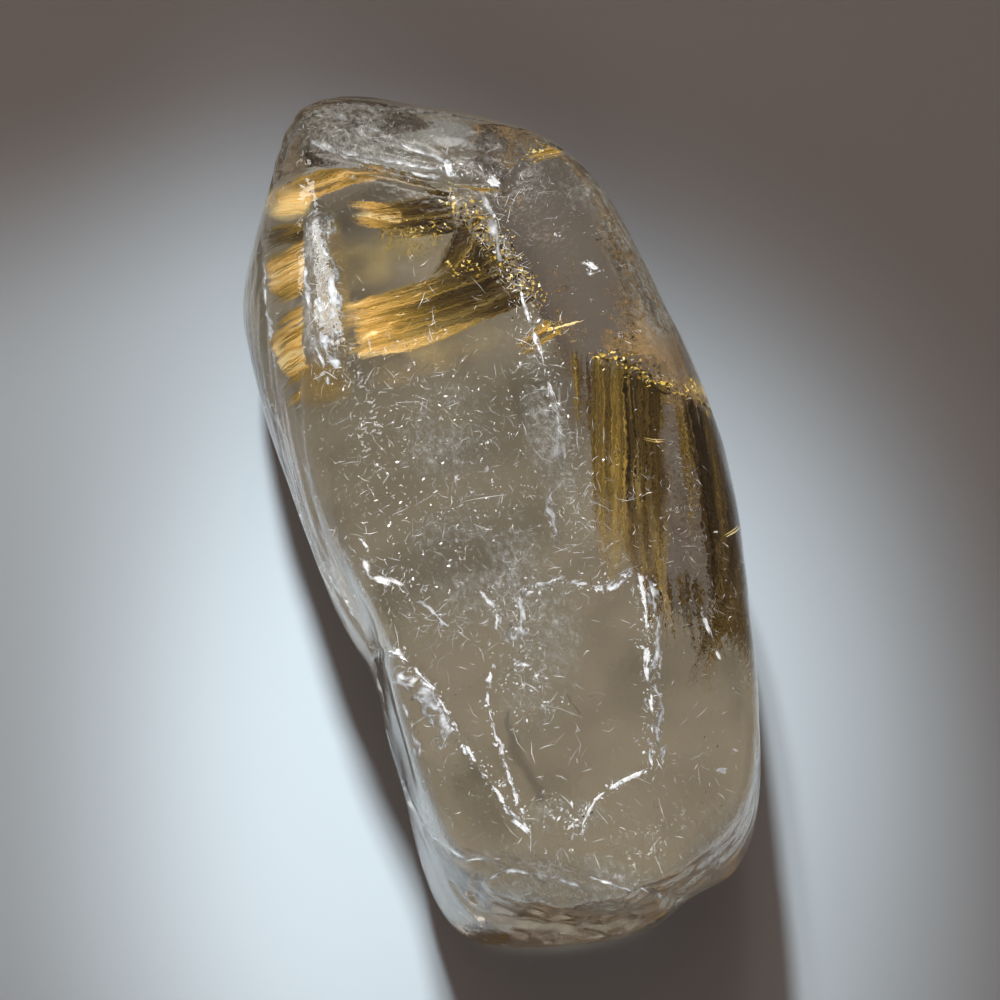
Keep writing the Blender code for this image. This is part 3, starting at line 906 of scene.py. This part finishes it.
def foil(pixels, half_width, depths, brightness, seed):
    """Crackled strip along a line of pixels: as bright as ridge^3 + blobs + cracks, with ridge 1 - a^2
    for the place a across it, and as dense as ridge times blobs + cracks; a dark one is plain."""
    shares, across, spots, length = along_line(pixels, [half_width], 0.5, seed)
    cloudy = 0.0 if brightness < DARK_FOIL else 1.0
    blobs = cloudy * clouds(spots, BLOBS, 3, seed + 3)
    cracks = cloudy * clouds(flat(shares * length / CRACK_LENGTH, across * half_width), 2.6, 3, seed + 5)
    ridge = (1 - across**2) * np.clip(shares * 10, 0, 1) * np.clip((1 - shares) * 10, 0, 1)
    depth = depths[0] + (depths[1] - depths[0]) * (across + 1) / 2 + 0.2 * cracks
    bright = np.clip(brightness * (0.2 + 0.6 * ridge**3 + 0.5 * blobs + 0.8 * cracks), 0.02, 1)
    dense = soft_step(ridge * (0.7 + 0.9 * blobs) + 1.2 * cracks * (ridge > 0.02), 0.35, 1.1)
    places = at_depth(spots.reshape(-1, 2), depth.ravel())
    return thin_sheet(places.reshape(*depth.shape, 3), bright, dense * (0.6 + 0.4 * cloudy))


def band(pixels, half_widths, placed, level, tones, change, density, tail, seed):
    """Satin band of needles too fine to draw: tone from the list across + change along + streaks, and
    a density that fades to both sides, at the ragged root and over the tail."""
    shares, across, spots, length = along_line(pixels, half_widths, 0.12, seed)
    half = np.mean(half_widths)
    fibres = clouds(flat(shares * length / FIBRE_LENGTH, across * half / FIBRE_WIDTH), 2, 3, seed)
    tone = np.interp(across, np.linspace(-1, 1, len(tones)), tones) + change * shares + 0.16 * fibres
    ragged = 0.03 + 0.05 * clouds(flat(across * half, 0), 4, 2, seed + 1)
    dense = density * soft_step(1 - np.abs(across), 0, 0.4) * soft_step(shares, ragged, ragged + 0.03)
    dense = dense * soft_step(1 - shares + 0.1 * fibres, 0, tail) * np.clip(1 + 0.5 * fibres, 0, 1)
    places = placed(spots.reshape(-1, 2), level + 0.15 * fibres.ravel())
    return thin_sheet(places.reshape(*dense.shape, 3), np.clip(tone, 0.02, 0.98), dense)


def veil(centre, radii, turn, depth, brightness, density, seed):
    """Cloudy patch round a pixel: density (1 - r^2)^fade times wisps."""
    steps = int(np.clip(max(radii) / 2.5, 26, 100))
    x, y = np.meshgrid(np.linspace(-1, 1, steps), np.linspace(-1, 1, steps), indexing="ij")
    u, v = x * np.sqrt(1 - y**2 / 2), y * np.sqrt(1 - x**2 / 2)
    cosine, sine = math.cos(math.radians(turn)), math.sin(math.radians(turn))
    u_long, v_long = u * radii[0], v * radii[1]
    spots = np.array(centre, float) + flat(u_long * cosine - v_long * sine, u_long * sine + v_long * cosine)
    wisps = clouds(spots * (0.7, 1), WISPS, 4, seed)
    dense = density * np.clip(1 - u**2 - v**2, 0, 1) ** VEIL_FADE * np.clip(0.7 + 0.6 * wisps, 0, 1)
    bright = np.clip(brightness + 0.12 * wisps, 0, 1)
    depth = depth + 0.15 * clouds(spots, DEPTHS, 1, seed + 2)
    places = at_depth(spots.reshape(-1, 2), depth.ravel())
    return thin_sheet(places.reshape(steps, steps, 3), bright, dense)


print("sheets are", SHEET_THICKNESS, "mm thick")

# %% [markdown]
# Between the needles that can be told apart lie many more that can't, and together they shine like
# satin. A band follows a sheaf from its root to its tips, with streaks along it, and soft patches stand
# for the finest haze of gold.

# %% Satin bands of rutile
band_look = ramp_material("rutile_satin_and_painted_glint", RUTILE_TONES, roughness=0.4, metallic=0.2, glow=0.5, opacity=True)
# Each band: pixels from root to tip, half widths in pixels, how placed and at what level, tones across
# from the left hand of a walker to the right, change of tone towards the tip, density, fading tail, seed.
BANDS = {
    "arc": ([(443, 198), (420, 187), (390, 179), (360, 176), (333, 181), (305, 190), (280, 203)],
        [3, 4, 5, 7, 9, 11, 12], at_height, 6.4, (0.24, 0.20, 0.50, 0.30, 0.62), 0.35, 0.9, 0.15, 111),
    "upper": ([(456, 214), (428, 214), (400, 219), (378, 224)], [18, 17, 14, 10], at_height, 6.3,
        (0.26, 0.40, 0.22, 0.46, 0.30, 0.70), 0.2, 1.0, 0.3, 113),
    "block": ([(486, 240), (468, 262), (444, 292)], [32, 28, 20], at_height, 6.1,
        (0.40, 0.28, 0.42, 0.24, 0.42, 0.28), 0.1, 1.0, 0.5, 115),
    "lower": ([(516, 280), (482, 290), (446, 304), (412, 316), (380, 326), (352, 331)],
        [24, 27, 28, 27, 26, 27], at_height, 6.6, (0.38, 0.28, 0.42, 0.24, 0.40, 0.18, 0.34, 0.48), 0.4,
        1.0, 0.12, 116),
    "lower_glow": ([(440, 282), (410, 298), (380, 314), (348, 326)], [5, 14, 22, 26], at_height, 6.9,
        (0.42, 0.80, 0.62, 0.97, 0.70, 0.92, 0.55), 0.0, 0.9, 0.25, 117),
    "upper_glow": ([(404, 216), (380, 213), (350, 211)], [7, 12, 9], at_height, 6.8,
        (0.45, 0.80, 0.97, 0.70), 0.1, 0.9, 0.5, 118),
    "flank_brown": ([(305, 233), (282, 234), (262, 238)], [12, 11, 9], at_depth, 2.2, (0.55, 0.30, 0.42),
        0.0, 0.85, 0.3, 119),
    "flank_upper": ([(305, 272), (285, 275), (266, 280)], [27, 25, 20], at_depth, 1.8,
        (0.50, 0.85, 0.94, 0.74, 0.36), 0.0, 0.95, 0.3, 120),
    "flank_lower": ([(306, 350), (292, 354), (277, 362)], [29, 29, 24], at_depth, 1.8,
        (0.50, 0.85, 0.94, 0.88, 0.60), 0.0, 0.95, 0.3, 122),
    "curtain_left": ([(611, 356), (609, 400), (608, 450), (609, 500), (612, 550), (614, 600)],
        [19, 19, 19, 19, 17, 10], at_height, 5.1, (0.34, 0.42, 0.35, 0.40, 0.33), 0.0, 0.85, 0.5, 124),
    "curtain_middle": ([(645, 372), (645, 420), (646, 480), (648, 540), (652, 590), (660, 640)],
        [23, 24, 25, 25, 20, 13], at_height, 5.4, (0.30, 0.20, 0.28, 0.18, 0.28, 0.22), 0.06, 0.95, 0.5,
        125),
    "curtain_right": ([(703, 408), (715, 460), (722, 520), (729, 580), (738, 640), (745, 695)],
        [23, 20, 17, 14, 11, 7], at_height, 5.4, (0.22, 0.10, 0.20, 0.08, 0.16), 0.06, 0.9, 0.4, 126),
    "splinters": ([(556, 324), (536, 338), (514, 354)], [5, 6, 4], at_height, 6.9, (0.42, 0.30, 0.42), 0.0,
        0.8, 0.3, 127),
}
# Soft patches of the finest needles, given as the veils are; the cream one is a painted glint.
GLOWS = {
    "bevel": ((330, 305), (22, 100), 0, 2.6, 0.66, 0.50, 131),
    "arc_end": ((288, 203), (28, 20), 0, 1.6, 0.95, 0.85, 132),
    "gap_smear": ((388, 250), (60, 20), -5, 3.8, 0.42, 0.35, 134),
    "below_bevel": ((325, 385), (30, 34), 0, 3.0, 0.50, 0.40, 136),
    "gap": ((385, 266), (80, 42), -10, 3.6, 0.46, 0.30, 138),
    "under_fan": ((430, 350), (100, 30), -18, 3.6, 0.40, 0.22, 139),
    # A painted glint where the curtain's root meets the skin.
    "cream_glint": ((695, 391), (18, 10), 38, 0.3, 0.99, 1.0, 140),
}
satin = add_piece("rutile_satin_and_painted_glint", joined([band(*stripe) for stripe in BANDS.values()]
                                         + [veil(*patch) for patch in GLOWS.values()]),
                  band_look)
satin.visible_shadow = False

# %% [markdown]
# The long fracture, the loop, the chain and the ledges at the far end are foil: they carry air, so they
# mirror. Where a break has healed, only a haze is left. Neither throws a shadow, because a break turns
# light aside and doesn't swallow it. Some foils and veils are painted light instead: gloss and its
# streaks on the left bevel, highlights along the rims, glints, a painted reflection of the floor on the
# left flank, and painted shade over the lower left facet.

# %% Foil and veils
VEIL_TONES = ((0.0, (0.04, 0.034, 0.026)), (0.3, (0.20, 0.18, 0.145)), (0.6, (0.46, 0.44, 0.39)),
              (0.85, (0.86, 0.86, 0.84)), (1.0, (1.0, 1.0, 1.0)))
foil_look = ramp_material("fracture_foil_and_painted_light", SILVER_TONES, roughness=0.35, metallic=0.4, glow=0.75,
                          opacity=True)
veil_look = ramp_material("healed_veil_and_painted_light", VEIL_TONES, roughness=0.6, metallic=0.0, glow=0.5, opacity=True,
                          grain=True)
# Each foil: pixels, half width in pixels, depth of its two edges in millimetres, brightness, seed.
FOILS = {
    "long": ([(372, 650), (390, 652), (415, 668), (436, 690), (447, 715), (455, 733)], 7.0, (0.3, 1.6),
        1.00, 41),
    "long_low": ([(462, 742), (478, 768), (497, 790), (512, 815), (530, 835)], 4.6, (0.3, 1.4), 1.00, 42),
    "long_margin": ([(395, 668), (420, 690), (440, 720), (452, 745)], 8.6, (0.5, 2.0), 0.6, 43),
    "beside": ([(490, 672), (488, 703), (496, 735), (505, 765), (518, 800), (528, 828)], 3.2, (0.3, 1.5),
        1.00, 44),
    "loop_side": ([(640, 572), (646, 610), (647, 660), (650, 720), (651, 768)], 3.6, (0.4, 1.2), 1.10, 45),
    "loop_strip": ([(650, 575), (658, 620), (659, 680), (661, 765)], 6.5, (0.6, 2.4), 0.60, 46),
    "loop_top": ([(515, 590), (540, 583), (575, 582), (600, 586), (635, 575)], 4.3, (0.5, 2.0), 0.80, 47),
    "loop_knot": ([(606, 590), (618, 582), (634, 574)], 6.5, (0.5, 1.6), 0.70, 48),
    "loop_end": ([(650, 768), (620, 785), (595, 800), (582, 825), (583, 842)], 2.3, (0.4, 1.4), 0.95, 49),
    "loop_left": ([(532, 588), (522, 612), (516, 645)], 7.9, (0.6, 2.2), 0.70, 50),
    "chain_top": ([(484, 190), (492, 225), (500, 262)], 3.4, (0.6, 1.8), 0.50, 51),
    "chain": ([(515, 280), (528, 318), (540, 350), (552, 392), (560, 425)], 2.6, (0.6, 1.8), 0.60, 52),
    "chain_low": ([(556, 395), (562, 430), (556, 470)], 6.5, (0.7, 2.5), 0.50, 53),
    "far_ledge": ([(310, 140), (345, 150), (400, 160), (452, 172)], 3.6, (0.3, 1.4), 0.70, 55),
    "far_ledge_high": ([(330, 112), (370, 128), (420, 150), (470, 168)], 3.1, (0.3, 1.2), 0.60, 56),
    "far_ledge_low": ([(316, 145), (350, 158), (400, 168), (440, 178)], 2.7, (0.3, 1.2), 0.75, 57),
    # Painted glints on the far ridge.
    "far_spark": ([(446, 158), (452, 172), (462, 186)], 5.0, (0.3, 1.0), 1.10, 58),
    "far_spark_right": ([(478, 164), (492, 176), (502, 186)], 5.0, (0.3, 1.0), 1.20, 59),
    "crescent": ([(356, 538), (363, 540), (368, 547), (366, 557)], 1.8, (0.4, 0.7), 0.95, 60),
    "left_streak": ([(361, 556), (372, 578), (392, 582), (412, 592)], 3.0, (0.6, 1.8), 0.62, 61),
    "left_streak_low": ([(420, 600), (436, 612), (448, 628)], 4.3, (0.6, 1.8), 0.60, 62),
    "knot_middle": ([(478, 586), (490, 600), (500, 620), (498, 640)], 4.3, (0.5, 1.6), 0.95, 63),
    "flank_streak": ([(262, 262), (268, 320), (280, 380)], 3.6, (0.3, 0.9), 0.55, 64),
    "near_low": ([(402, 700), (415, 730), (420, 760)], 5.0, (0.5, 1.6), 0.55, 65),
    "spot_mid": ([(508, 668), (522, 666), (530, 668)], 3.6, (0.4, 0.8), 1.20, 66),
    "curtain_knot": ([(560, 470), (548, 500), (556, 545)], 6.5, (0.8, 2.5), 0.55, 67),
    "curtain_streak": ([(700, 612), (712, 640), (722, 660)], 2.2, (0.5, 1.2), 0.80, 68),
    "slot_dark": ([(505, 702), (516, 740), (530, 780), (545, 812)], 9, (0.6, 3.0), 0.12, 69),
    "sliver_dark": ([(566, 692), (574, 704), (582, 716)], 2.2, (0.8, 1.4), 0.00, 70),
    "wisp_dark": ([(650, 352), (658, 366), (663, 384)], 2.2, (1.0, 1.6), 0.10, 71),
    "near_dark": ([(476, 902), (486, 880), (505, 873)], 2.7, (0.3, 0.8), 0.10, 72),
    "near_dark_right": ([(520, 872), (536, 878), (548, 886)], 2.7, (0.3, 0.8), 0.05, 73),
    # Painted shade: a dark foil laid over the lower left facet.
    "near_left_dark": ([(383, 690), (396, 745), (408, 800), (426, 850), (452, 892)], 13, (0.3, 0.6), 0.19,
        99),
    # A painted star glint.
    "star": ([(583, 261), (590, 267), (597, 272)], 5.5, (0.4, 0.7), 1.6, 100),
    # Painted highlights along the rims and the edge of the near pits.
    "rim_left": ([(374, 655), (384, 700), (396, 745), (404, 790), (412, 830), (428, 880), (440, 905)], 2.0,
        (0.2, 0.5), 0.62, 74),
    "rim_near": (NEAR_RIM[1:5], 2.2, (0.2, 0.5), 0.6, 75),
    "rim_near_right": (NEAR_RIM[4:], 1.8, (0.2, 0.5), 0.62, 76),
    "rim_flank": (LEFT_RIM[3:], 2.0, (0.2, 0.5), 0.60, 77),
    "near_pit": ([(480, 882), (510, 872), (560, 880), (590, 892)], 2.0, (0.2, 0.5), 0.55, 78),
    # Painted reflection: the gloss on the left bevel and its streaks.
    "bevel_streak": ([(308, 215), (306, 270), (312, 330)], 3.0, (0.2, 0.6), 0.7, 79),
    "bevel_streak_low": ([(312, 330), (322, 360), (330, 385)], 3.0, (0.2, 0.6), 0.70, 80),
    "bevel_gloss": ([(326, 215), (330, 255), (334, 300), (338, 345)], 7, (0.2, 0.6), 0.55, 97),
    "bevel_gloss_low": ([(318, 290), (324, 330), (334, 370)], 6, (0.2, 0.6), 0.60, 98),
}
# Each veil: centre and radii in pixels, turn in degrees, depth in millimetres, brightness, density, seed.
VEILS = {
    "far": ((392, 138), (134, 50), 12, 0.7, 0.42, 0.80, 81),
    "far_right": ((565, 172), (80, 38), 24, 0.8, 0.34, 0.55, 82),
    "right_rim": ((645, 280), (30, 140), -26, 0.8, 0.32, 0.60, 83),
    "near": ((560, 893), (150, 46), 8, 0.6, 0.44, 0.80, 84),
    # Painted shade over the lower left facet.
    "near_left": ((412, 790), (26, 150), -15, 0.6, 0.28, 0.95, 85),
    "near_right": ((712, 855), (30, 80), 35, 0.6, 0.40, 0.90, 86),
    # Painted reflection of the bright floor on the left flank.
    "flank": ((316, 560), (16, 120), -26, 0.5, 0.52, 0.80, 87),
    "upper": ((455, 440), (62, 62), 20, 0.8, 0.46, 0.50, 89),
    "middle": ((480, 560), (80, 70), 40, 0.9, 0.46, 0.42, 90),
    "loop_patch": ((540, 660), (46, 90), 10, 0.9, 0.52, 0.46, 92),
    "loop_low": ((568, 818), (44, 24), 0, 0.8, 0.56, 0.55, 93),
    "chain": ((548, 430), (26, 100), -10, 0.9, 0.50, 0.40, 94),
    "bevel": ((316, 285), (16, 85), 0, 0.5, 0.72, 0.95, 96),
}
# Besides fractures and haze, these sheets hold painted light: gloss, highlights, glints and shade.
foils = add_piece("fracture_and_painted_light_sheets", joined([foil(*strip) for strip in FOILS.values()]), foil_look)
veils = add_piece("haze_and_painted_light_veils", joined([veil(*patch) for patch in VEILS.values()]), veil_look)
foils.visible_shadow = veils.visible_shadow = False

# %% [markdown]
# The floor is plain and pale. Clear stone gathers light and lets it fall under itself, which shows as
# the soft brightness seen through its body. Tracing that light is slow and grainy, so the floor under
# the stone carries it as a faint glow, worked out once for each corner of a fine grid: deep inside the
# outline it is full, and it fades out before the stone's edge.

# %% Floor
# Millimetres: the floor lies just under the base and ends far off; the light is worked out at this height.
FLOOR_DROP, FLOOR_REACH, GATHER_HEIGHT = 0.05, 1000.0, -3.0
FLOOR_GLOW = 0.28


def gathered_light(points):
    """Glow under the stone: rises with the depth inside the widest outline, with slow waves."""
    depth = depth_inside(np.where((True, True, False), points, GATHER_HEIGHT))
    near = soft_step(-points[:, 1], -5, 30)
    return soft_step(depth, 0.5, 6.0) * (0.65 + 0.20 * near + 0.30 * clouds(points[:, :2], 7, 3, 101))


across = np.concatenate([[-FLOOR_REACH], np.linspace(-24, 24, 97), [FLOOR_REACH]])
along = np.concatenate([[-FLOOR_REACH], np.linspace(-46, 46, 185), [FLOOR_REACH]])
x, y = np.meshgrid(across, along, indexing="ij")
floor_points = np.stack([x.ravel(), y.ravel(), np.full(x.size, -BASE_DEPTH - FLOOR_DROP)], axis=-1)
floor_faces = grid_faces(np.arange(x.size).reshape(x.shape))
glow = np.clip(gathered_light(floor_points), 0, 1)
pale, tree = new_material("pale_floor")
pale.cycles.emission_sampling = "NONE"
warm = tinted(tree, (1.0, 0.88, 0.66), own_uv(tree)[0])
principled(tree, {"Base Color": (0.84, 0.82, 0.80, 1), "Roughness": 0.7, "Emission Color": warm,
                  "Emission Strength": FLOOR_GLOW})
floor = linked("floor", new_mesh("floor", floor_points, floor_faces, flat(glow, glow), pale))
print("the floor's glow reaches", round(float(glow.max()) * FLOOR_GLOW, 2))

# %% [markdown]
# Three beams from behind the stone light the floor, shaped to the bright pool and the shadow of the
# photograph, and kept out of mirror reflections. A lamp as large as the crown, just under it, stands in
# for the light that clear stone gathers. The panes of a window to the left show only as gloss.

# %% Lamps
KEY_COMPASS, KEY_TILT, KEY_DISTANCE = 80.0, 53.0, 400.0
KEY_COLOUR, KEY_RADIUS = (0.71, 0.86, 0.97), 0.012
# Each beam: where it meets the floor, width in degrees, softness of its edge, height to width, watts.
KEY_BEAMS = {
    "key_wide": ((-26.2, 3.2), 22.3, 0.59, 0.55, 2.5),
    "key_core": ((-4.5, -24.4), 12.9, 0.78, 1.1, 4.1),
    "key_edge": ((-20.1, -31.5), 10.6, 0.89, 2.5, 2.3),
}


def lamp(name, kind, place, way, settings):
    """A lamp at a place in millimetres from the middle, whose back is turned along a way."""
    data = bpy.data.lights.new(name, kind)
    for setting, value in settings.items():
        setattr(data, setting, value)
    made = linked(name, data)
    made.location = Vector((place + MIDDLE) * MM)
    made.rotation_euler = Vector(way).to_track_quat("Z", "Y").to_euler()
    return made


way = compass([(KEY_COMPASS, KEY_TILT)])[0]
for name, (aim, beam, softness, oval, power) in KEY_BEAMS.items():
    key = lamp(name, "SPOT", np.array((*aim, -BASE_DEPTH)) + way * KEY_DISTANCE, way,
               {"energy": power, "color": KEY_COLOUR, "shadow_soft_size": KEY_RADIUS,
                "spot_size": math.radians(beam), "spot_blend": softness})
    key.scale = (1, oval, 1)
    key.visible_glossy = False

# Light that has come in through the crown: a lamp as large as the crown, close under it, facing down.
CROWN_PLACE, CROWN_TURN = np.array((1.0, -1.0, 12.3)), (0.05, 0, math.radians(-3))
inner = lamp("light_inside", "AREA", CROWN_PLACE, (0, 0, 1),
             {"shape": "ELLIPSE", "size": 0.030, "size_y": 0.070, "energy": 0.015,
              "color": (1.0, 0.96, 0.9)})
inner.rotation_euler = CROWN_TURN
inner.visible_camera = inner.visible_glossy = inner.visible_transmission = False

# A window to the left that shows only as gloss on the left bevel, as panes of their own size:
# compass turn and tilt in degrees, width and height in metres, power in watts.
WINDOW_DISTANCE = 400.0
PANES = [(137, 22, 0.04, 0.16, 0.08), (130, 30, 0.05, 0.18, 0.15)]
for turn, tilt, width, height, power in PANES:
    way = compass([(turn, tilt)])[0]
    pane = lamp("window_pane", "AREA", way * WINDOW_DISTANCE, way,
                {"shape": "ELLIPSE", "size": width, "size_y": height, "energy": power})
    pane.visible_camera = pane.visible_diffuse = pane.visible_transmission = False

# %% [markdown]
# All else that the skin mirrors is a dim warm studio with soft bright patches: one behind, which lights
# the far ridge, one on the camera's side and one low on the left. Six bounces carry a ray through the
# stone to the floor and back out, and more of them change little.

# %% Studio
world = bpy.data.worlds.new("studio")
scene.world = world
world.use_nodes = True
tree = world.node_tree
sky = node(tree, "ShaderNodeTexCoord", output="Generated")


def soft_patch(turn, tilt, sharpness, strength):
    """Soft bright patch of the studio: strength max(sky . direction, 0)^sharpness."""
    facing = node(tree, "ShaderNodeVectorMath", {"operation": "DOT_PRODUCT"},
                  {0: sky, 1: tuple(compass([(turn, tilt)])[0])}, output="Value")
    facing = node(tree, "ShaderNodeMath", {"operation": "MAXIMUM"}, {0: facing, 1: 0.0})
    return facing**sharpness * strength


warm = tinted(tree, (1.0, 0.72, 0.62), soft_patch(75, 45, 3, 0.17) + 0.03)
white = tinted(tree, (1.0, 0.96, 0.90), soft_patch(68, 41, 300, 5.0) + soft_patch(-110, 45, 60, 1.1)
               + soft_patch(164, 15, 10, 0.16))
both = node(tree, "ShaderNodeVectorMath", {"operation": "ADD"}, {0: warm, 1: white})
tree.links.new(both.socket, tree.nodes["Background"].inputs["Color"])
scene.view_settings.view_transform = "Standard"
cycles = scene.cycles
cycles.max_bounces = cycles.transmission_bounces = 6
cycles.transparent_max_bounces, cycles.diffuse_bounces = 12, 1
cycles.caustics_refractive, cycles.debug_use_spatial_splits = False, True
